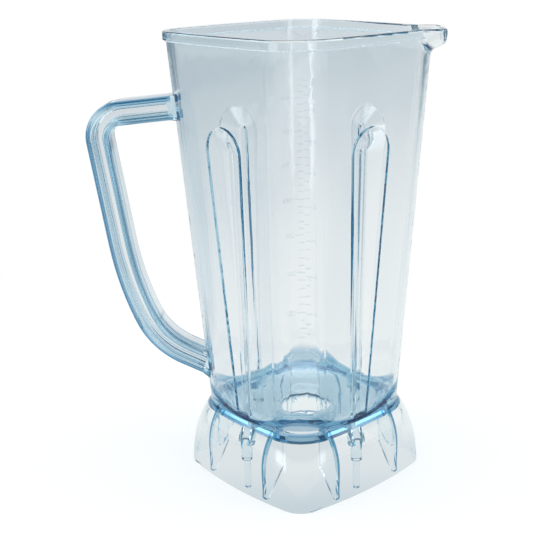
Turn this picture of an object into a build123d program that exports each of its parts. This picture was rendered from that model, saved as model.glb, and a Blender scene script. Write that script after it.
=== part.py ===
from build123d import *
import os
from math import atan2, cos, degrees, radians, sin, sqrt, tan

# Square two-litre blender jar: one clear moulding with a skirt, a spout and an open handle.
# Driving dimensions, in millimetres. The jar stands on z = 0 with its corners along X and Y,
# its spout on +X and its handle on -X. Flats are half widths, and rounds are corner radii.

# Jar wall
height = 270.0
wall = 3.0
wall_corner_round = 24.0
rim_flats = 62.4
rim_bulge = 530.0
neck_height = 43.4
neck_flats = 49.4
neck_bulge = 300.0
neck_blend = 3.0

# Rim band
rim_band = 5.0
rim_overhang = 1.4
rim_round = 1.2

# Skirt that stands over the drive base
skirt_wall = 2.6
skirt_ledge_height = 37.5
skirt_bulge = 250.0
foot_flats = 58.5
foot_corner_round = 14.3
flank_height = 15.0
flank_flats = 58.1
flank_corner_round = 18.8
knee_height = 28.0
knee_flats = 57.3
knee_corner_round = 28.4
brow_height = 35.0
brow_flats = 55.0
brow_corner_round = 29.1

# Dished floor and blade hub
floor_thickness = 2.6
seat_height = 38.0
seat_radius = 28.0
dish_edge_height = 66.5
hole_radius = 16.0
hub_wall = 3.5
hub_bottom = 25.0

# Flutes, one down the middle of each face
flute_bottom = 46.0
flute_spring = 206.0
flute_crown = 220.4
flute_top_half_width = 14.6
flute_bottom_half_width = 6.2
flute_top_depth = 5.7
flute_bottom_depth = 1.8
flute_floor_half_width = 2.0
flute_lip = 0.6
flute_edge_round = 0.8

# Spout
spout_tip = 83.6
spout_tip_half_width = 17.0
spout_root = 58.0
spout_root_half_width = 25.0
spout_tip_drop = 9.2
spout_slope = 24.0
spout_radius = 21.0
spout_depth = 40.0
spout_wall = 2.6
spout_corner = 8.0
spout_throat = 4.0
spout_tip_round = 2.4

# Handle, an I section on the -X corner
handle_depth = 14.0
handle_width = 18.0
handle_flange = 4.2
handle_web = 3.0
handle_round = 1.6
handle_reach = 120.1
handle_top_height = 227.2
handle_top_fall = 5.5
handle_top_bend = 14.5
handle_grip_reach = 105.4
handle_grip_height = 121.4
handle_grip_bend_share = 0.55
handle_low_reach = 88.9
handle_low_height = 81.7
handle_low_bend_share = 0.425
handle_low_slope = 24.9
handle_root = 8.0
handle_flare = 0.6
handle_flare_length = 3.0

# Gussets and stepped posts inside the skirt
gusset_offset = 25.0
gusset_thickness = 2.2
gusset_depth = 40.5
gusset_step_height = 18.0
gusset_tip_depth = 51.5
gusset_tip_height = 1.0
post_spacing_x = 63.6
post_spacing_y = 80.6
post_pin_radius = 2.1
post_pin_bottom = 1.0
post_pin_top = 20.0
post_body_radius = 3.4
post_body_top = 30.0
post_head_radius = 5.6

# Room that a body runs past the surface it cuts or joins, and how exactly a level is matched
overrun = 4.0
bite = 0.2
round_share = 0.45
level_match = 0.01


def corner_centre(flats, corner, bulge):
    """How far from the axis a bowed square's corner rounds are centred."""
    rise = bulge - flats
    return sqrt((bulge - corner) ** 2 - rise**2 / 2) - rise / sqrt(2)


def outline(level, flats, corner, bulge, inset=0.0):
    """A square with bowed sides and round corners, its corners on the X and Y axes."""
    rise = bulge - flats
    centre = corner_centre(flats, corner, bulge)
    swing = degrees(atan2(centre / sqrt(2), centre / sqrt(2) + rise))
    with BuildSketch(Plane.XY.offset(level)) as section:
        with BuildLine():
            for face in (45, 135, 225, 315):
                middle = (-rise * cos(radians(face)), -rise * sin(radians(face)))
                CenterArc(middle, bulge - inset, face - swing, 2 * swing)
                tip = (centre * cos(radians(face + 45)), centre * sin(radians(face + 45)))
                CenterArc(tip, corner - inset, face + swing, 90 - 2 * swing)
        make_face()
    return section.sketch


def along_wall(neck_size, rim_size, level):
    """A size of the tapered wall at one level."""
    return neck_size + (rim_size - neck_size) * (level - neck_height) / (height - neck_height)


def wall_outline(level, inset=0.0):
    """The jar's section at one level."""
    flats = along_wall(neck_flats, rim_flats, level)
    bulge = along_wall(neck_bulge, rim_bulge, level)
    return outline(level, flats, wall_corner_round, bulge, inset)


def skirt_outlines(inset=0.0, drop=0.0):
    """The skirt's sections, from the foot up to the neck."""
    return [
        outline(-drop, foot_flats, foot_corner_round, skirt_bulge, inset),
        outline(flank_height - drop, flank_flats, flank_corner_round, skirt_bulge, inset),
        outline(knee_height - drop, knee_flats, knee_corner_round, skirt_bulge, inset),
        outline(brow_height - drop, brow_flats, brow_corner_round, skirt_bulge, inset),
        outline(neck_height - drop, neck_flats, wall_corner_round, neck_bulge, inset),
    ]


def face_plane(level, depth, tilt):
    """A plane on the +X face at one level and depth, leaning out by the tilt."""
    middle = along_wall(neck_flats, rim_flats, level) - depth
    return Plane(origin=(middle, 0, level), x_dir=(0, 1, 0), z_dir=(1, 0, -tilt))


def on_wall(edge):
    """True for an edge that lies in a flat face of the jar's outer wall."""
    place = edge @ 0.5
    depth = along_wall(neck_flats, rim_flats, place.Z) - (abs(place.X) + abs(place.Y)) / sqrt(2)
    return depth < flute_bottom_depth / 2


def arch(plane, bottom_half_width, top_half_width, spring, crown):
    """An arched panel that stands on a leaning plane's origin."""
    with BuildSketch(plane) as panel:
        with BuildLine():
            Line((-bottom_half_width, 0), (bottom_half_width, 0))
            Line((bottom_half_width, 0), (top_half_width, spring))
            ThreePointArc((top_half_width, spring), (0, crown), (-top_half_width, spring))
            Line((-top_half_width, spring), (-bottom_half_width, 0))
        make_face()
    return panel.sketch


def flute(inset):
    """A V-shaped flute with an arched head, moved in from the outer face by the inset."""
    face_tilt = (rim_flats - neck_flats) / (height - neck_height)
    rise = flute_spring - flute_bottom
    bed_tilt = face_tilt - (flute_top_depth - flute_bottom_depth) / rise
    top_slope = (flute_top_half_width - flute_floor_half_width) / flute_top_depth
    bottom_slope = (flute_bottom_half_width - flute_floor_half_width) / flute_bottom_depth
    spread = inset * tan(atan2(1, top_slope) / 2)
    mouth = arch(
        face_plane(flute_bottom, inset - flute_lip, face_tilt),
        flute_bottom_half_width + spread + flute_lip * bottom_slope,
        flute_top_half_width + spread + flute_lip * top_slope,
        rise,
        flute_crown - flute_bottom + spread + flute_lip * top_slope,
    )
    bed_half_width = flute_floor_half_width + spread
    bed = arch(
        face_plane(flute_bottom, inset + flute_bottom_depth, bed_tilt),
        bed_half_width,
        bed_half_width,
        rise,
        rise + bed_half_width,
    )
    with BuildPart() as body:
        loft(sections=[bed, mouth], ruled=True)
    return body.part


def spout(inset, top):
    """The spout's beak: a round trough that rises to the tip, cut to its plan and to one level."""
    tip = spout_tip - inset
    side = spout_radius - inset
    slope = radians(spout_slope)
    keel = height - spout_tip_drop
    middle = (spout_tip - spout_radius * sin(slope), 0, keel + spout_radius * cos(slope))
    with BuildPart() as body:
        with BuildSketch(Plane(origin=middle, x_dir=(0, 1, 0), z_dir=(cos(slope), 0, sin(slope)))):
            Circle(side)
            with Locations((0, spout_radius)):
                Rectangle(2 * side, 2 * spout_radius)
        extrude(amount=spout_tip, both=True)
        with BuildSketch(Plane.XY.offset(height - spout_depth)) as plan:
            with BuildLine():
                Polyline(
                    (0, -spout_root_half_width + inset),
                    (spout_root, -spout_root_half_width + inset),
                    (tip, -spout_tip_half_width + inset),
                    (tip, spout_tip_half_width - inset),
                    (spout_root, spout_root_half_width - inset),
                    (0, spout_root_half_width - inset),
                    close=True,
                )
            make_face()
            fillet(plan.vertices().group_by(Axis.X)[-1], spout_corner - inset)
        extrude(amount=spout_depth + top, mode=Mode.INTERSECT)
    return body.part


# Half widths over the corners
rim_corners = corner_centre(rim_flats, wall_corner_round, rim_bulge) + wall_corner_round
neck_corners = corner_centre(neck_flats, wall_corner_round, neck_bulge) + wall_corner_round
foot_corners = corner_centre(foot_flats, foot_corner_round, skirt_bulge) + foot_corner_round

# Dished floor: the room above its face and the room below its underside
dish_reach = neck_corners - seat_radius
dish_rise = dish_edge_height - seat_height
dish_radius = (dish_reach**2 + dish_rise**2) / (2 * dish_rise)
dish_height = seat_height + dish_radius
far_edge = rim_corners + rim_overhang + overrun


def beside_floor(radius, limit):
    """Everything between the dish of one radius and a level above or below it."""
    bottom = dish_height - radius
    edge = dish_height - sqrt(radius**2 - dish_reach**2)
    with BuildPart() as body:
        with BuildSketch(Plane.XZ):
            with BuildLine():
                Polyline((0, limit), (0, bottom), (seat_radius, bottom))
                RadiusArc((seat_radius, bottom), (neck_corners, edge), -radius)
                Polyline((neck_corners, edge), (far_edge, edge), (far_edge, limit), (0, limit))
            make_face()
        revolve(axis=Axis.Z)
    return body.part


# Inside of the jar: tapered walls over the dished floor, with the flutes standing in as ridges
with BuildPart() as cavity:
    loft(
        sections=[wall_outline(seat_height - overrun, wall), wall_outline(height + overrun, wall)],
        ruled=True,
    )
    add(beside_floor(dish_radius, height + overrun), mode=Mode.INTERSECT)
    with PolarLocations(0, 4, start_angle=45):
        add(flute(wall), mode=Mode.SUBTRACT)
    add(spout(spout_wall, overrun))

# Gussets of one face: two blades square to the skirt, cut away to a point above the foot
with BuildPart() as gussets:
    with BuildSketch(Plane.XZ.offset(gusset_offset)):
        with BuildLine():
            Polyline(
                (gusset_depth, dish_height),
                (gusset_depth, gusset_step_height),
                (gusset_tip_depth, gusset_tip_height),
                (foot_corners, gusset_tip_height),
                (foot_corners, dish_height),
                close=True,
            )
        make_face()
    extrude(amount=gusset_thickness / 2, both=True)
    mirror(about=Plane.XZ)

# Post: a thin pin under two wider steps
with BuildPart() as post:
    with BuildSketch(Plane.XZ):
        with BuildLine():
            Polyline(
                (0, post_pin_bottom),
                (post_pin_radius, post_pin_bottom),
                (post_pin_radius, post_pin_top),
                (post_body_radius, post_pin_top),
                (post_body_radius, post_body_top),
                (post_head_radius, post_body_top),
                (post_head_radius, dish_height),
                (0, dish_height),
                close=True,
            )
        make_face()
    revolve(axis=Axis.Z)

# Inside of the skirt up to a ledge, and of the neck up to the floor, leaving hub, gussets and posts
with BuildPart() as hollow:
    loft(sections=skirt_outlines(skirt_wall, skirt_wall))
    split(bisect_by=Plane.XY.offset(skirt_ledge_height), keep=Keep.BOTTOM)
    well = [wall_outline(skirt_ledge_height - overrun, wall), wall_outline(dish_height, wall)]
    loft(sections=well, ruled=True)
    add(beside_floor(dish_radius + floor_thickness, -overrun), mode=Mode.INTERSECT)
    with BuildSketch(Plane.XY.offset(hub_bottom)):
        Circle(hole_radius + hub_wall)
    extrude(amount=seat_height - hub_bottom, mode=Mode.SUBTRACT)
    with PolarLocations(0, 4, start_angle=45):
        add(gussets.part, mode=Mode.SUBTRACT)
    with GridLocations(post_spacing_x, post_spacing_y, 2, 2):
        add(post.part, mode=Mode.SUBTRACT)


def bend_radius(before, corner, after, run):
    """Radius of a bend whose curve starts one run away from its corner."""
    turn = (Vector(corner) - Vector(before)).get_angle(Vector(after) - Vector(corner))
    return run / tan(radians(turn / 2))


def across(path, place):
    """The plane square to the handle's path at one place, from 0 at its start to 1 at its end."""
    return Plane(origin=path @ place, x_dir=(0, 1, 0), z_dir=path % place)


def pad(plane, growth):
    """The handle's outer rectangle, grown all round."""
    with BuildSketch(plane) as section:
        RectangleRounded(handle_width + 2 * growth, handle_depth + 2 * growth, handle_round)
    return section.sketch


def collar(path, root, outer):
    """A solid end on the handle that widens into the wall, between two places on the path."""
    slope = handle_flare / handle_flare_length
    with BuildPart() as body:
        sections = [pad(across(path, root), slope * (handle_root + handle_flare_length))]
        sections.append(pad(across(path, outer), -bite))
        loft(sections=sections, ruled=True)
    return body.part


# Handle: an I section swept along a bar, a round bend, the grip and a wide lower bend
top_root = along_wall(neck_corners, rim_corners, handle_top_height) - handle_root
low_run = handle_low_reach - neck_corners + handle_root
low_fall = low_run * tan(radians(handle_low_slope))
top_start = (-top_root, handle_top_height)
top_corner = (-handle_reach, handle_top_height - handle_top_fall)
grip_corner = (-handle_grip_reach, handle_grip_height)
low_corner = (-handle_low_reach, handle_low_height)
low_end = (-handle_low_reach + low_run, handle_low_height - low_fall)
low_straight = (Vector(low_corner) - Vector(grip_corner)).length
grip_bend = bend_radius(top_corner, grip_corner, low_corner, handle_grip_bend_share * low_straight)
low_bend = bend_radius(grip_corner, low_corner, low_end, handle_low_bend_share * low_straight)
with BuildPart() as handle:
    with BuildLine(Plane.XZ) as grip:
        FilletPolyline(
            top_start,
            top_corner,
            grip_corner,
            low_corner,
            low_end,
            radius=[handle_top_bend, grip_bend, low_bend],
        )
    path = grip.wires()[0]
    with BuildSketch(across(path, 0)) as beam:
        Rectangle(handle_width, handle_depth)
        with GridLocations((handle_width + handle_web) / 2, 0, 2, 1):
            pocket_width = (handle_width - handle_web) / 2
            Rectangle(pocket_width, handle_depth - 2 * handle_flange, mode=Mode.SUBTRACT)
        fillet(beam.vertices(), min(handle_round, round_share * handle_flange))
    sweep(path=path)
    collar_share = (handle_root + handle_flare_length) / path.length
    add(collar(path, 0, collar_share))
    add(collar(path, 1, 1 - collar_share))

# The jar
with BuildPart() as jar:
    loft(sections=skirt_outlines())
    loft(sections=[wall_outline(neck_height), wall_outline(height)], ruled=True)
    crease = jar.edges().filter_by_position(Axis.Z, neck_height - level_match, neck_height + level_match)
    fillet(crease, neck_blend)
    add(spout(0.0, 0.0))
    fillet(jar.edges(Select.NEW), spout_throat)
    tip = jar.edges().filter_by_position(Axis.X, spout_tip - level_match, spout_tip + level_match)
    fillet(tip.filter_by(Axis.Z, reverse=True).sort_by(Axis.Z)[0], spout_tip_round)
    with PolarLocations(0, 4, start_angle=45):
        add(flute(0.0), mode=Mode.SUBTRACT)
    fillet(jar.edges(Select.NEW).filter_by(on_wall), flute_edge_round)
    band = outline(height - rim_band, rim_flats, wall_corner_round, rim_bulge, -rim_overhang)
    extrude(band, amount=rim_band)
    fillet(jar.faces().sort_by(Axis.Z)[-1].edges(), rim_round)
    add(handle.part)
    add(cavity.part, mode=Mode.SUBTRACT)
    add(hollow.part, mode=Mode.SUBTRACT)
    with BuildSketch(Plane.XY.offset(hub_bottom - overrun)):
        Circle(hole_radius)
    extrude(amount=seat_height - hub_bottom + 2 * overrun, mode=Mode.SUBTRACT)

jar.part.label = "jar"
os.makedirs("parts", exist_ok=True)
export_step(jar.part, "parts/jar.step")
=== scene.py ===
"""The looks of a clear moulded blender jar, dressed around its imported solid.

Everything is in metres in the part's own frame: +Z up, +X to the spout, -X to the handle, one corner
of the jar towards the camera at -Y and the corner with the moulded scale away from it at +Y.
"""

from math import atan2, cos, pi, radians, sin, sqrt

import bpy
from mathutils import Matrix, Vector


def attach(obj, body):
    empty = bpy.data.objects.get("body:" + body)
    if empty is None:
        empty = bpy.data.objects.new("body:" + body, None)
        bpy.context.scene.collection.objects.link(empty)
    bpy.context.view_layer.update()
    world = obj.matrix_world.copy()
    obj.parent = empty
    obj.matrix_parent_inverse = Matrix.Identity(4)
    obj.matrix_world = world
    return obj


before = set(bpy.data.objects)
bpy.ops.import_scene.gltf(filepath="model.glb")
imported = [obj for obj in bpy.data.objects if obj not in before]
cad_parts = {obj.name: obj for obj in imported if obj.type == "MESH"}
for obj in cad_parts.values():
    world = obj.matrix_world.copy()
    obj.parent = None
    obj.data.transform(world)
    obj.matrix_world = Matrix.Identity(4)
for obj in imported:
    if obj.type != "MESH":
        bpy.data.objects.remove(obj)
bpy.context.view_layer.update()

MM = 0.001
LITRE = 0.001
WHITE = "#FFFFFF"
SMOOTH = {"interpolation_type": "SMOOTHSTEP"}
COLOUR_MIX = {"data_type": "RGBA"}

# The photograph's view
image_side_px = 533
view_azimuth = radians(2.397)
view_elevation = radians(17.319)
view_roll = radians(-0.813)
view_distance = 645.15 * MM
view_target = Vector((1.776, 0.0, 126.23)) * MM
focal_length_px = 1058.7
frame_offset_x_px = 38.40
frame_offset_y_px = 2.98
sensor_width_mm = 36.0
nearest_seen = 10 * MM
light_bounces = 48

# The jar's wall, as in its solid
neck_height = 43.4 * MM
rim_height = 270.0 * MM
corner_round = 24.0 * MM
neck_corner_centre = 34.402 * MM
rim_corner_centre = 52.386 * MM
corner_lean = (rim_corner_centre - neck_corner_centre) / (rim_height - neck_height)
wall_corner_start = neck_corner_centre + corner_round - corner_lean * neck_height
wall_thickness = 3.0 * MM
wall_inside = 47.8 * MM
wall_inside_corner = 56.2 * MM

# What the jar holds: its inside half width at the neck, how that grows with height, the half width at
# which the filling starts, and the volume in each cubed half width
inside_neck = 46.4 * MM
inside_lean = 0.0574
inside_start = 46.69 * MM
inside_share = 22.09

# The plastic: how much it bends light, the blue it takes on with depth, what it lets through of a lamp,
# and the size and roughness of its haze
plastic_ior = 1.585
depth_colour = "#00C8E2"
depth_density = 20.0
lamp_light_colour = "#EFF5F8"
haze_size = 40.0 * MM
haze_roughness = 0.012

# The handle's middle line as X and Z, each with the cut that its bend takes off the corner
handle_line = (
    (-65.0 * MM, 227.2 * MM, 0.0),
    (-120.1 * MM, 221.7 * MM, 4.4 * MM),
    (-105.4 * MM, 121.4 * MM, 1.5 * MM),
    (-88.9 * MM, 81.7 * MM, 3.2 * MM),
    (-50.4 * MM, 63.8 * MM, 0.0),
)
bend_softness = 6.0
handle_lowest = 54.0 * MM
handle_fade = 0.8 * MM

# Colour across the handle's section, by how far a point lies outside its middle line: a blue for the
# depth of plastic, with darker bands near the flange edges that are painted shade for the dark room
# seen in them. The side away from the scale has all of it, the other a share, and they meet over the web.
flange_depth_and_shade_colours = (
    (-7.0 * MM, WHITE),
    (-6.7 * MM, "#E4EEF4"),
    (-6.3 * MM, "#4A7A9E"),
    (-5.6 * MM, "#4A7A9E"),
    (-5.2 * MM, "#A2CBE2"),
    (-3.2 * MM, "#B2D4E7"),
    (-2.6 * MM, WHITE),
    (3.4 * MM, WHITE),
    (4.4 * MM, "#90BFDB"),
    (5.4 * MM, "#4486B3"),
    (6.4 * MM, "#3576A4"),
    (7.0 * MM, "#5594BE"),
)
far_side_share = 0.3
web_half = 2.0 * MM

# The dished floor: its flat seat, the round it climbs in, how far up its blue reaches in full and at
# all, and the colours of its shell inside the wall and in the wall's outer face
seat_radius = 28.0 * MM
dish_radius = 30.465 * MM
dish_centre = 68.465 * MM
dish_full = 48.0 * MM
dish_edge = 57.0 * MM
floor_thickness = 2.6 * MM
shell_slack = 0.3 * MM
shell_fade = 0.6 * MM
floor_colour = "#C4DCEA"
floor_edge_colour = "#7DB2D4"

# The skirt's shoulder, with a blue band of painted shade for the dark room it mirrors
shoulder_low = 40.2 * MM
shoulder_start = 46.0 * MM
shoulder_fade = 0.5 * MM
shoulder_painted_shade_colour = "#7FB0D0"

# The gussets inside the skirt: how far off the faces' middles they stand, where their roots begin, and
# how they thin out towards the foot
gusset_offset = 25.0 * MM
gusset_half = 1.1 * MM
gusset_core = 0.7
gusset_thinning = 0.45
gusset_start = 45.0 * MM
gusset_tip = 3.0 * MM
gusset_fade = 1.0 * MM
gusset_colour = "#1F6899"

# Where the spout's two sides meet the rim, which the mould leaves duller
spout_root = (68.0 * MM, 21.0 * MM, 268.0 * MM)
spout_root_reach = 6.5 * MM
spout_root_core = 4.5 * MM
spout_root_roughness = 0.25

# Moulded scale on the rear corner
mark_height = 0.5 * MM
mark_proud = 0.15 * MM
mark_sunk = 0.05 * MM
mark_depth = mark_proud + mark_sunk
mark_gap = 0.5 * MM
mark_grain = 0.8 * MM
short_mark = 4.2 * MM
long_mark = 7.2 * MM
digit_height = 3.0 * MM
digit_share = 0.7
digit_gap = 0.9 * MM
ounce = 0.02957 * LITRE
millilitre_numbers = range(250, 2000, 250)
ounce_numbers = range(8, 65, 8)

# The rim band's lower edge: a fine moulded line under the band, open at the spout
rim_flats = 62.1 * MM
rim_bulge = 524.5 * MM
rim_line_height = 264.6 * MM
rim_line_out = 0.6 * MM
rim_line_radius = 0.45 * MM
rim_line_end = 31.0 * MM
corner_steps = 8
face_steps = 16

# Studio: colours by the height of a direction and by the distance on the floor
backdrop_colours = (
    (0.0, WHITE),
    (0.28, "#F4F7F8"),
    (0.37, "#6E8798"),
    (0.6, "#5F7888"),
    (1.0, "#8FA3B0"),
)
fill_colour = "#DDE3E6"
floor_size = 40.0
paper_colour = "#F4F5F6"
paper_near = 0.15
paper_far = 0.5
paper_near_white = 0.6
far_slant = (-3.0, 1.0, 0.0)
far_floor_colours = (
    (0.0, "#FFFBF8"),
    (0.35, "#F8F6F5"),
    (1.2, "#E6E8EA"),
    (2.3, "#DADFE2"),
    (2.9, "#CFD6DB"),
)
# Painted shadow under the jar's front, in the floor's glow that the plastic mirrors and lets through
painted_shadow_under_jar = (
    (-0.13, WHITE),
    (-0.085, "#C6D6DF"),
    (0.0, "#E6EDF1"),
    (0.09, WHITE),
)
set_side_colours = ((0.5, WHITE), (1.3, "#A9B7C0"))

# Each soft box: its place, the height it aims at, its width and height, and its brightness against
# white. Its light fades over an edge, which is a share of its width.
lamp_edge = 0.22
soft_boxes = (
    ("left_strip_box", (-0.68, -0.67, 0.235), 0.235, (0.5, 0.39), 2.4),
    ("right_strip_box", (0.69, -0.655, 0.235), 0.235, (0.34, 0.39), 1.5),
    ("left_soft_box", (-0.93, 0.05, 0.8), 0.13, (0.8, 0.8), 2.4),
    ("right_soft_box", (0.93, 0.05, 0.8), 0.13, (0.8, 0.8), 2.4),
    ("top_soft_box", (0.0, -0.1, 1.4), 0.13, (0.9, 0.9), 3.0),
)


def linear(hex_colour):
    """An sRGB hex colour as linear red, green, blue and alpha."""
    values = [int(hex_colour[i : i + 2], 16) / 255 for i in (1, 3, 5)]
    return [v / 12.92 if v <= 0.04045 else ((v + 0.055) / 1.055) ** 2.4 for v in values] + [1.0]


def node(tree, kind, settings=None, **inputs):
    """Adds a node with its settings, and sets or links each named or numbered input. A node given as
    an input stands for its first output."""
    made = tree.nodes.new(kind)
    for name, value in (settings or {}).items():
        setattr(made, name, value)
    for name, value in inputs.items():
        number = name[1:]
        socket = made.inputs[int(number) if number.isdigit() else name.replace("_", " ")]
        if isinstance(value, bpy.types.Node):
            value = value.outputs[0]
        if isinstance(value, bpy.types.NodeSocket):
            tree.links.new(value, socket)
        else:
            socket.default_value = value
    return made


def formula(tree, operation, *terms):
    """Works out a formula from numbers, sockets, nodes and smaller formulas."""
    terms = [formula(tree, *term) if isinstance(term, tuple) else term for term in terms]
    inputs = {f"_{place}": term for place, term in enumerate(terms)}
    return node(tree, "ShaderNodeMath", {"operation": operation}, **inputs).outputs[0]


def within(tree, value, low, high, edge):
    """One from low to high, falling softly to nothing over an edge on either side."""
    rise = node(tree, "ShaderNodeMapRange", SMOOTH, Value=value, From_Min=low - edge, From_Max=low)
    fall = node(tree, "ShaderNodeMapRange", SMOOTH, Value=value, From_Min=high + edge, From_Max=high)
    return formula(tree, "MULTIPLY", rise, fall)


def blank_material(name):
    material = bpy.data.materials.new(name)
    material.use_nodes = True
    material.node_tree.nodes.clear()
    return material, material.node_tree


def blend_stops(tree, value, stops, interpolation="EASE"):
    """A colour that runs through several stops of a value."""
    low, high = stops[0][0], stops[-1][0]
    share = node(tree, "ShaderNodeMapRange", Value=value, From_Min=low, From_Max=high)
    ramp = node(tree, "ShaderNodeValToRGB", Fac=share)
    ramp.color_ramp.interpolation = interpolation
    elements = ramp.color_ramp.elements
    for stop, colour in stops:
        place = (stop - low) / (high - low)
        element = elements[0] if stop == low else elements[-1] if stop == high else elements.new(place)
        element.color = linear(colour)
    return ramp.outputs["Color"]


def finish_clear(tree, plastic):
    """Lets lamp light through a clear plastic, dimmed a little, and returns the surface."""
    shade = node(tree, "ShaderNodeBsdfTransparent", Color=linear(lamp_light_colour))
    path = node(tree, "ShaderNodeLightPath")
    return node(tree, "ShaderNodeMixShader", _0=path.outputs["Is Shadow Ray"], _1=plastic, _2=shade)


def across_handle(tree, place):
    """How far a point lies outside the handle's middle line, worked out from its straight runs."""
    away = None
    for (x, z, cut), (next_x, next_z, _) in zip(handle_line, handle_line[1:]):
        outward = Vector((next_z - z, 0.0, x - next_x)).normalized()
        run = node(tree, "ShaderNodeVectorMath", {"operation": "DOT_PRODUCT"}, _0=place, _1=outward)
        run = formula(tree, "SUBTRACT", run.outputs["Value"], outward.dot(Vector((x, 0.0, z))))
        away = run if away is None else formula(tree, "SMOOTH_MAX", away, run, bend_softness * cut)
    return away


# Clear polycarbonate, injection moulded in polished steel: a bright, hard mirror of the room on each
# face, a faint haze, and a blue that shows where the eye looks through much plastic. That is in the
# handle's two flanges, along the gussets and in the floor's shell. The flanges' darker bands and the blue
# band on the shoulder under the floor are painted shade, for the dark room seen in them.
def clear_polycarbonate():
    material, tree = blank_material("clear_polycarbonate_polished")
    place = node(tree, "ShaderNodeTexCoord").outputs["Object"]
    xyz = node(tree, "ShaderNodeSeparateXYZ", Vector=place).outputs
    level = xyz["Z"]

    past_wall = formula(tree, "ADD", xyz["X"], ("MULTIPLY_ADD", level, corner_lean, wall_corner_start))
    past_wall = node(
        tree, "ShaderNodeMapRange", SMOOTH, Value=past_wall, From_Min=0.0, From_Max=-handle_fade
    )
    near_side = node(
        tree,
        "ShaderNodeMapRange",
        Value=xyz["Y"],
        From_Min=web_half,
        From_Max=-web_half,
        To_Min=far_side_share,
    )
    above_skirt = ("GREATER_THAN", level, handle_lowest)
    on_handle = formula(tree, "MULTIPLY", ("MULTIPLY", above_skirt, past_wall), near_side)
    # Painted shade: the darker bands near the flange edges, laid over the blue for the plastic's depth
    flange_depth_and_shade = blend_stops(tree, across_handle(tree, place), flange_depth_and_shade_colours, "LINEAR")

    radius = node(tree, "ShaderNodeVectorMath", {"operation": "MULTIPLY"}, _0=place, _1=(1.0, 1.0, 0.0))
    radius = node(tree, "ShaderNodeVectorMath", {"operation": "LENGTH"}, _0=radius).outputs["Value"]
    sides = node(
        tree, "ShaderNodeVectorRotate", {"rotation_type": "Z_AXIS"}, Vector=place, Angle=radians(45)
    )
    sides = node(tree, "ShaderNodeVectorMath", {"operation": "ABSOLUTE"}, _0=sides)
    sides = node(tree, "ShaderNodeSeparateXYZ", Vector=sides).outputs
    outside = formula(
        tree,
        "MAXIMUM",
        ("GREATER_THAN", ("MAXIMUM", sides["X"], sides["Y"]), wall_inside),
        ("GREATER_THAN", radius, wall_inside_corner),
    )
    inner = ("MULTIPLY_ADD", outside, -wall_thickness, radius)
    outward = formula(tree, "MAXIMUM", ("SUBTRACT", inner, seat_radius), 0.0)
    downward = formula(tree, "SUBTRACT", dish_centre, level)
    arm = node(tree, "ShaderNodeCombineXYZ", X=outward, Y=downward)
    arm = node(tree, "ShaderNodeVectorMath", {"operation": "LENGTH"}, _0=arm).outputs["Value"]
    shell_out = dish_radius + floor_thickness
    in_shell = within(tree, arm, dish_radius - shell_slack, shell_out + shell_slack, shell_fade)
    low_down = node(
        tree, "ShaderNodeMapRange", SMOOTH, Value=level, From_Min=dish_edge, From_Max=dish_full
    )
    in_floor = formula(tree, "MULTIPLY", in_shell, low_down)
    shell = node(
        tree,
        "ShaderNodeMix",
        COLOUR_MIX,
        _0=outside,
        _6=linear(floor_colour),
        _7=linear(floor_edge_colour),
    ).outputs[2]

    # Painted shade: a blue band on the skirt's shoulder, for the dark room seen in it
    painted_shoulder_shade = within(tree, level, shoulder_low, neck_height, shoulder_fade)
    painted_shoulder_shade = formula(tree, "MULTIPLY", painted_shoulder_shade, ("GREATER_THAN", radius, shoulder_start))

    layers = [(on_handle, flange_depth_and_shade), (in_floor, shell), (painted_shoulder_shade, linear(shoulder_painted_shade_colour))]
    thinning = gusset_thinning * gusset_half
    taper = formula(tree, "MULTIPLY_ADD", level, -thinning / neck_height, thinning)
    for across, along in (("X", "Y"), ("Y", "X")):
        off = formula(tree, "ADD", ("ABSOLUTE", ("SUBTRACT", sides[across], gusset_offset)), taper)
        blade = node(
            tree,
            "ShaderNodeMapRange",
            SMOOTH,
            Value=off,
            From_Min=gusset_half,
            From_Max=gusset_core * gusset_half,
        )
        at_root = ("MULTIPLY", blade, ("GREATER_THAN", sides[along], gusset_start))
        upright = within(tree, level, gusset_tip, neck_height, gusset_fade)
        layers.append((formula(tree, "MULTIPLY", at_root, upright), linear(gusset_colour)))
    colour = linear(WHITE)
    for share, depth_blue_and_painted_shade in layers:
        colour = node(tree, "ShaderNodeMix", COLOUR_MIX, _0=share, _6=colour, _7=depth_blue_and_painted_shade).outputs[2]

    haze = node(tree, "ShaderNodeTexNoise", Vector=place, Scale=1 / haze_size, Detail=3.0)
    haze = node(tree, "ShaderNodeMapRange", Value=haze, To_Min=0.0, To_Max=haze_roughness)
    beside = formula(tree, "ABSOLUTE", xyz["Y"])
    half = node(tree, "ShaderNodeCombineXYZ", X=xyz["X"], Y=beside, Z=level)
    root = node(tree, "ShaderNodeVectorMath", {"operation": "DISTANCE"}, _0=half, _1=spout_root)
    root = node(
        tree,
        "ShaderNodeMapRange",
        SMOOTH,
        Value=root.outputs["Value"],
        From_Min=spout_root_reach,
        From_Max=spout_root_core,
    )
    plastic = node(
        tree,
        "ShaderNodeBsdfPrincipled",
        Base_Color=colour,
        Roughness=formula(tree, "MULTIPLY_ADD", root, spout_root_roughness, haze),
        IOR=plastic_ior,
        Transmission_Weight=1.0,
    )
    depth = node(tree, "ShaderNodeVolumeAbsorption", Color=linear(depth_colour), Density=depth_density)
    node(tree, "ShaderNodeOutputMaterial", Surface=finish_clear(tree, plastic), Volume=depth)
    return material


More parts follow.
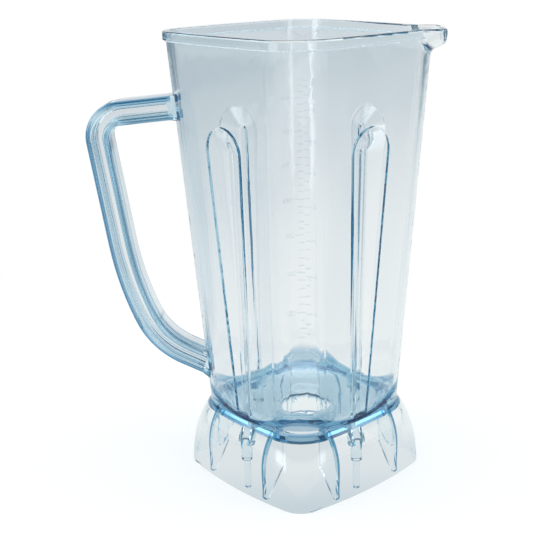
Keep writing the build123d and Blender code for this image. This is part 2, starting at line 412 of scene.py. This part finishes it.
# The same plastic where fine raised lines leave the mould dull: a soft grain in place of the mirror, and
# for the rim's lower edge a milkier line that catches the light
def dull_polycarbonate(name, roughest, clearness):
    material, tree = blank_material(name)
    place = node(tree, "ShaderNodeTexCoord").outputs["Object"]
    grain = node(tree, "ShaderNodeTexNoise", Vector=place, Scale=1 / mark_grain, Detail=2.0)
    rough = node(tree, "ShaderNodeMapRange", Value=grain, To_Min=0.3 * roughest, To_Max=roughest)
    plastic = node(
        tree,
        "ShaderNodeBsdfPrincipled",
        Base_Color=linear(lamp_light_colour),
        Roughness=rough,
        IOR=plastic_ior,
        Transmission_Weight=clearness,
    )
    node(tree, "ShaderNodeOutputMaterial", Surface=finish_clear(tree, plastic))
    return material


polycarbonate = clear_polycarbonate()
marking = dull_polycarbonate("clear_polycarbonate_spark_eroded", 0.16, 1.0)
bright_edge = dull_polycarbonate("milky_polycarbonate_edge", 0.4, 0.45)
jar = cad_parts["jar"]
jar.data.materials.clear()
jar.data.materials.append(polycarbonate)


def fill_level(volume):
    """The height to which a volume fills the jar."""
    half_width = (volume / inside_share + inside_start**3) ** (1 / 3)
    return neck_height + (half_width - inside_neck) / inside_lean


def on_rear_corner(x, z):
    """How far from the jar's axis its rear corner stands, at one place across and one height."""
    return neck_corner_centre + corner_lean * (z - neck_height) + sqrt(corner_round**2 - x**2)


def plain_mesh(piece, name):
    """The evaluated shape of an object as a new object with a plain mesh."""
    bpy.context.view_layer.update()
    shape = piece.evaluated_get(bpy.context.evaluated_depsgraph_get())
    made = bpy.data.objects.new(name, bpy.data.meshes.new_from_object(shape))
    bpy.context.scene.collection.objects.link(made)
    bpy.data.objects.remove(piece)
    return made


# Scale marks: a row of raised ticks that climbs the rear corner at equal volumes, bent to its round
def tick_tree():
    tree = bpy.data.node_groups.new("scale_ticks", "GeometryNodeTree")
    face = tree.interface
    face.new_socket("Geometry", in_out="OUTPUT", socket_type="NodeSocketGeometry")
    for name, kind in (
        ("Ticks", "NodeSocketInt"),
        ("First Volume", "NodeSocketFloat"),
        ("Volume Step", "NodeSocketFloat"),
        ("Long Every", "NodeSocketInt"),
        ("First Long", "NodeSocketInt"),
        ("Short Length", "NodeSocketFloat"),
        ("Long Length", "NodeSocketFloat"),
        ("Side", "NodeSocketFloat"),
        ("Gap", "NodeSocketFloat"),
        ("Line Height", "NodeSocketFloat"),
        ("Line Depth", "NodeSocketFloat"),
        ("Proud", "NodeSocketFloat"),
        ("Material", "NodeSocketMaterial"),
    ):
        face.new_socket(name, in_out="INPUT", socket_type=kind)
    given = node(tree, "NodeGroupInput").outputs

    index = node(tree, "GeometryNodeInputIndex").outputs[0]
    volume = ("MULTIPLY_ADD", index, given["Volume Step"], given["First Volume"])
    half_width = ("POWER", ("ADD", ("DIVIDE", volume, inside_share), inside_start**3), 1 / 3)
    level = formula(
        tree, "MULTIPLY_ADD", ("SUBTRACT", half_width, inside_neck), 1 / inside_lean, neck_height
    )
    turn = ("FLOORED_MODULO", ("SUBTRACT", index, given["First Long"]), given["Long Every"])
    length = node(
        tree,
        "ShaderNodeMix",
        {"data_type": "FLOAT"},
        _0=formula(tree, "LESS_THAN", turn, 0.5),
        _2=given["Short Length"],
        _3=given["Long Length"],
    ).outputs[0]
    across = formula(tree, "MULTIPLY", ("MULTIPLY_ADD", length, 0.5, given["Gap"]), given["Side"])
    start = node(tree, "ShaderNodeCombineXYZ", X=across, Z=level)
    line = node(tree, "GeometryNodeMeshLine", Count=given["Ticks"], Offset=(0.0, 0.0, 0.0))
    row = node(tree, "GeometryNodeSetPosition", Geometry=line, Position=start)
    bar = node(
        tree, "GeometryNodeMeshCube", Size=(1.0, 1.0, 1.0), Vertices_X=7, Vertices_Y=2, Vertices_Z=2
    )
    size = node(tree, "ShaderNodeCombineXYZ", X=length, Y=given["Line Depth"], Z=given["Line Height"])
    ticks = node(tree, "GeometryNodeInstanceOnPoints", Points=row, Instance=bar, Scale=size)
    real = node(tree, "GeometryNodeRealizeInstances", Geometry=ticks)

    spot = node(tree, "GeometryNodeInputPosition")
    spot = node(tree, "ShaderNodeSeparateXYZ", Vector=spot).outputs
    bow = ("SQRT", ("SUBTRACT", corner_round**2, ("MULTIPLY", spot["X"], spot["X"])))
    middle = ("MULTIPLY_ADD", ("SUBTRACT", spot["Z"], neck_height), corner_lean, neck_corner_centre)
    stand = ("SUBTRACT", given["Proud"], ("MULTIPLY", given["Line Depth"], 0.5))
    out = formula(tree, "ADD", ("ADD", ("ADD", middle, bow), spot["Y"]), stand)
    bent = node(tree, "ShaderNodeCombineXYZ", X=spot["X"], Y=out, Z=spot["Z"])
    wrapped = node(tree, "GeometryNodeSetPosition", Geometry=real, Position=bent)
    coloured = node(tree, "GeometryNodeSetMaterial", Geometry=wrapped, Material=given["Material"])
    node(tree, "NodeGroupOutput", Geometry=coloured)
    return tree


def tick_row(name, tree, **sizes):
    """One row of ticks as a plain piece that rides on the jar."""
    holder = bpy.data.objects.new(name + "_maker", bpy.data.meshes.new(name + "_maker"))
    bpy.context.scene.collection.objects.link(holder)
    maker = holder.modifiers.new("ticks", "NODES")
    maker.node_group = tree
    for socket in tree.interface.items_tree:
        if socket.in_out == "INPUT":
            maker[socket.identifier] = sizes[socket.name.replace(" ", "_").lower()]
    piece = plain_mesh(holder, name)
    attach(piece, "root")


def scale_numbers(name, rows):
    """Plain numbers beside the long ticks, raised on the rear corner and read from behind."""
    points, faces = [], []
    for text, volume, start in rows:
        letters = bpy.data.curves.new("digits", "FONT")
        letters.body = text
        letters.size = digit_height / digit_share
        letters.align_x = "LEFT" if start < 0 else "RIGHT"
        letters.align_y = "CENTER"
        letters.extrude = mark_depth / 2
        letters.resolution_u = 3
        piece = bpy.data.objects.new("digits", letters)
        bpy.context.scene.collection.objects.link(piece)
        flat = plain_mesh(piece, "digits_flat")
        first = len(points)
        for corner in flat.data.vertices:
            x = start - corner.co.x
            z = fill_level(volume) + corner.co.y
            y = on_rear_corner(x, z) + corner.co.z + (mark_proud - mark_sunk) / 2
            points.append((x, y, z))
        faces += [[first + i for i in polygon.vertices] for polygon in flat.data.polygons]
        bpy.data.objects.remove(flat)
    mesh = bpy.data.meshes.new(name)
    mesh.from_pydata(points, [], faces)
    mesh.materials.append(marking)
    piece = bpy.data.objects.new(name, mesh)
    bpy.context.scene.collection.objects.link(piece)
    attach(piece, "root")


def rim_line():
    """The fine line under the rim band, as a round bead along the wall's outline."""
    side_centre = rim_bulge - rim_flats
    reach = sqrt(2 * (rim_bulge - corner_round) ** 2 - side_centre**2)
    corner_centre = (reach - side_centre) / sqrt(2)
    swing = atan2(corner_centre / sqrt(2), side_centre + corner_centre / sqrt(2))
    half_corner = radians(45) - swing
    outline = []
    for quarter in range(4):
        corner_turn = radians(90 * quarter)
        middle = corner_centre * Vector((cos(corner_turn), sin(corner_turn), 0.0))
        for share in range(-corner_steps, corner_steps + 1):
            turn = corner_turn + half_corner * share / corner_steps
            outline.append(middle + (corner_round + rim_line_out) * Vector((cos(turn), sin(turn), 0.0)))
        face_turn = corner_turn + radians(45)
        middle = -side_centre * Vector((cos(face_turn), sin(face_turn), 0.0))
        for share in range(1 - face_steps, face_steps):
            turn = face_turn + swing * share / face_steps
            outline.append(middle + (rim_bulge + rim_line_out) * Vector((cos(turn), sin(turn), 0.0)))
    kept = [p for p in outline if p.x < 0 or abs(p.y) > rim_line_end]
    kept.sort(key=lambda p: atan2(p.y, p.x) % (2 * pi))
    curve = bpy.data.curves.new("rim_line", "CURVE")
    curve.dimensions = "3D"
    curve.bevel_depth = rim_line_radius
    curve.bevel_resolution = 3
    curve.use_fill_caps = True
    line = curve.splines.new("POLY")
    line.points.add(len(kept) - 1)
    for point, place in zip(line.points, kept):
        point.co = (place.x, place.y, rim_line_height, 1.0)
    maker = bpy.data.objects.new("rim_line_maker", curve)
    bpy.context.scene.collection.objects.link(maker)
    piece = plain_mesh(maker, "rim_line")
    piece.data.materials.clear()
    piece.data.materials.append(bright_edge)
    for polygon in piece.data.polygons:
        polygon.use_smooth = True
    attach(piece, "root")


ticks = tick_tree()
shared = {
    "short_length": short_mark,
    "long_length": long_mark,
    "gap": mark_gap,
    "line_height": mark_height,
    "line_depth": mark_depth,
    "proud": mark_proud,
    "material": marking,
}
tick_row(
    "millilitre_ticks",
    ticks,
    ticks=37,
    first_volume=0.10 * LITRE,
    volume_step=0.05 * LITRE,
    long_every=5,
    first_long=3,
    side=-1.0,
    **shared,
)
tick_row(
    "ounce_ticks",
    ticks,
    ticks=31,
    first_volume=4 * ounce,
    volume_step=2 * ounce,
    long_every=4,
    first_long=2,
    side=1.0,
    **shared,
)
digits_start = mark_gap + long_mark + digit_gap
scale_numbers(
    "scale_numbers",
    [(str(v), v * MM * LITRE, -digits_start) for v in millilitre_numbers]
    + [(str(v), v * ounce, digits_start) for v in ounce_numbers],
)
rim_line()


# Studio: a pale floor that runs off into grey, a grey ceiling and soft boxes. The camera sees them white,
# and what the plastic mirrors and lets through is the greyer set around the jar.
def backdrop():
    world = bpy.data.worlds.new("studio_world")
    bpy.context.scene.world = world
    world.use_nodes = True
    tree = world.node_tree
    tree.nodes.clear()
    path = node(tree, "ShaderNodeLightPath").outputs
    direction = node(tree, "ShaderNodeTexCoord").outputs["Generated"]
    climb = node(tree, "ShaderNodeSeparateXYZ", Vector=direction).outputs["Z"]
    through = formula(tree, "MAXIMUM", path["Is Glossy Ray"], path["Is Transmission Ray"])
    seen = node(tree, "ShaderNodeBackground", Color=blend_stops(tree, climb, backdrop_colours))
    fill = node(tree, "ShaderNodeBackground", Color=linear(fill_colour))
    white = node(tree, "ShaderNodeBackground", Color=linear(WHITE))
    room = node(tree, "ShaderNodeMixShader", _0=through, _1=fill, _2=seen)
    mixed = node(tree, "ShaderNodeMixShader", _0=path["Is Camera Ray"], _1=room, _2=white)
    node(tree, "ShaderNodeOutputWorld", Surface=mixed)


# Matt white paper on the floor: near the jar it keeps the jar's soft shadow, further off it is plain
# white.
# What the plastic mirrors and lets through is a glow over it instead, which carries a painted shadow under
# the jar's front.
def studio_floor():
    bpy.ops.mesh.primitive_plane_add(size=floor_size)
    floor = bpy.context.object
    floor.name = "studio_floor"
    material, tree = blank_material("matt_white_floor")
    path = node(tree, "ShaderNodeLightPath").outputs
    place = node(tree, "ShaderNodeTexCoord").outputs["Object"]
    slanted = node(tree, "ShaderNodeVectorMath", {"operation": "DOT_PRODUCT"}, _0=place, _1=far_slant)
    slanted = formula(tree, "ABSOLUTE", slanted.outputs["Value"])
    xyz = node(tree, "ShaderNodeSeparateXYZ", Vector=place).outputs
    side = formula(tree, "ABSOLUTE", xyz["X"])
    shade = blend_stops(tree, slanted, far_floor_colours)
    # Multiplied in: the painted shadow under the jar's front and the darker sides of the set
    for value, colours in ((xyz["Y"], painted_shadow_under_jar), (side, set_side_colours)):
        shade = node(
            tree,
            "ShaderNodeMix",
            {**COLOUR_MIX, "blend_type": "MULTIPLY"},
            _0=1.0,
            _6=shade,
            _7=blend_stops(tree, value, colours),
        ).outputs[2]
    sheen = node(tree, "ShaderNodeEmission", Color=shade)
    away = node(tree, "ShaderNodeVectorMath", {"operation": "LENGTH"}, _0=place).outputs["Value"]
    plain = node(
        tree,
        "ShaderNodeMapRange",
        Value=away,
        From_Min=paper_near,
        From_Max=paper_far,
        To_Min=paper_near_white,
        To_Max=1.0,
    )
    dull = node(tree, "ShaderNodeBsdfDiffuse", Color=linear(paper_colour))
    glow = node(tree, "ShaderNodeEmission", Color=linear(WHITE))
    paper = node(tree, "ShaderNodeMixShader", _0=plain, _1=dull, _2=glow)
    mixed = node(tree, "ShaderNodeMixShader", _0=path["Is Camera Ray"], _1=sheen, _2=paper)
    node(tree, "ShaderNodeOutputMaterial", Surface=mixed)
    floor.data.materials.append(material)


def soft_box(name, place, aim_height, size, radiance):
    """A lamp behind a soft sheet, brightest in its middle and fading out over its edges."""
    lamp = bpy.data.lights.new(name, "AREA")
    lamp.shape = "RECTANGLE"
    lamp.size, lamp.size_y = size
    lamp.energy = radiance * pi * size[0] * size[1]
    lamp.use_nodes = True
    tree = lamp.node_tree
    tree.nodes.clear()
    spot = node(tree, "ShaderNodeNewGeometry").outputs["Parametric"]
    spot = node(tree, "ShaderNodeSeparateXYZ", Vector=spot).outputs
    strength = 1.0
    for axis in ("X", "Y"):
        off = formula(tree, "ABSOLUTE", ("SUBTRACT", spot[axis], 0.5))
        fade = node(
            tree, "ShaderNodeMapRange", SMOOTH, Value=off, From_Min=0.5, From_Max=0.5 - lamp_edge
        )
        strength = formula(tree, "MULTIPLY", fade, strength)
    glow = node(tree, "ShaderNodeEmission", Strength=strength)
    node(tree, "ShaderNodeOutputLight", Surface=glow)
    holder = bpy.data.objects.new(name, lamp)
    holder.location = place
    aim = Vector((0.0, 0.0, aim_height)) - holder.location
    holder.rotation_euler = aim.to_track_quat("-Z", "Y").to_euler()
    bpy.context.scene.collection.objects.link(holder)


def photograph_camera():
    back = Vector(
        (
            sin(view_azimuth) * cos(view_elevation),
            -cos(view_azimuth) * cos(view_elevation),
            sin(view_elevation),
        )
    )
    level = Vector((cos(view_azimuth), sin(view_azimuth), 0.0))
    rise = back.cross(level)
    right = cos(view_roll) * level + sin(view_roll) * rise
    up = cos(view_roll) * rise - sin(view_roll) * level
    lens = bpy.data.cameras.new("photograph_camera")
    lens.sensor_width = sensor_width_mm
    lens.lens = sensor_width_mm * focal_length_px / image_side_px
    lens.shift_x = -frame_offset_x_px / image_side_px
    lens.shift_y = frame_offset_y_px / image_side_px
    lens.clip_start = nearest_seen
    camera = bpy.data.objects.new("photograph_camera", lens)
    turn = Matrix((right, up, back)).transposed().to_4x4()
    camera.matrix_world = Matrix.Translation(view_target + view_distance * back) @ turn
    bpy.context.scene.collection.objects.link(camera)
    bpy.context.scene.camera = camera


backdrop()
studio_floor()
for box in soft_boxes:
    soft_box(*box)
photograph_camera()

scene = bpy.context.scene
scene.view_settings.view_transform = "Standard"
scene.cycles.max_bounces = light_bounces
scene.cycles.glossy_bounces = light_bounces
scene.cycles.transmission_bounces = light_bounces
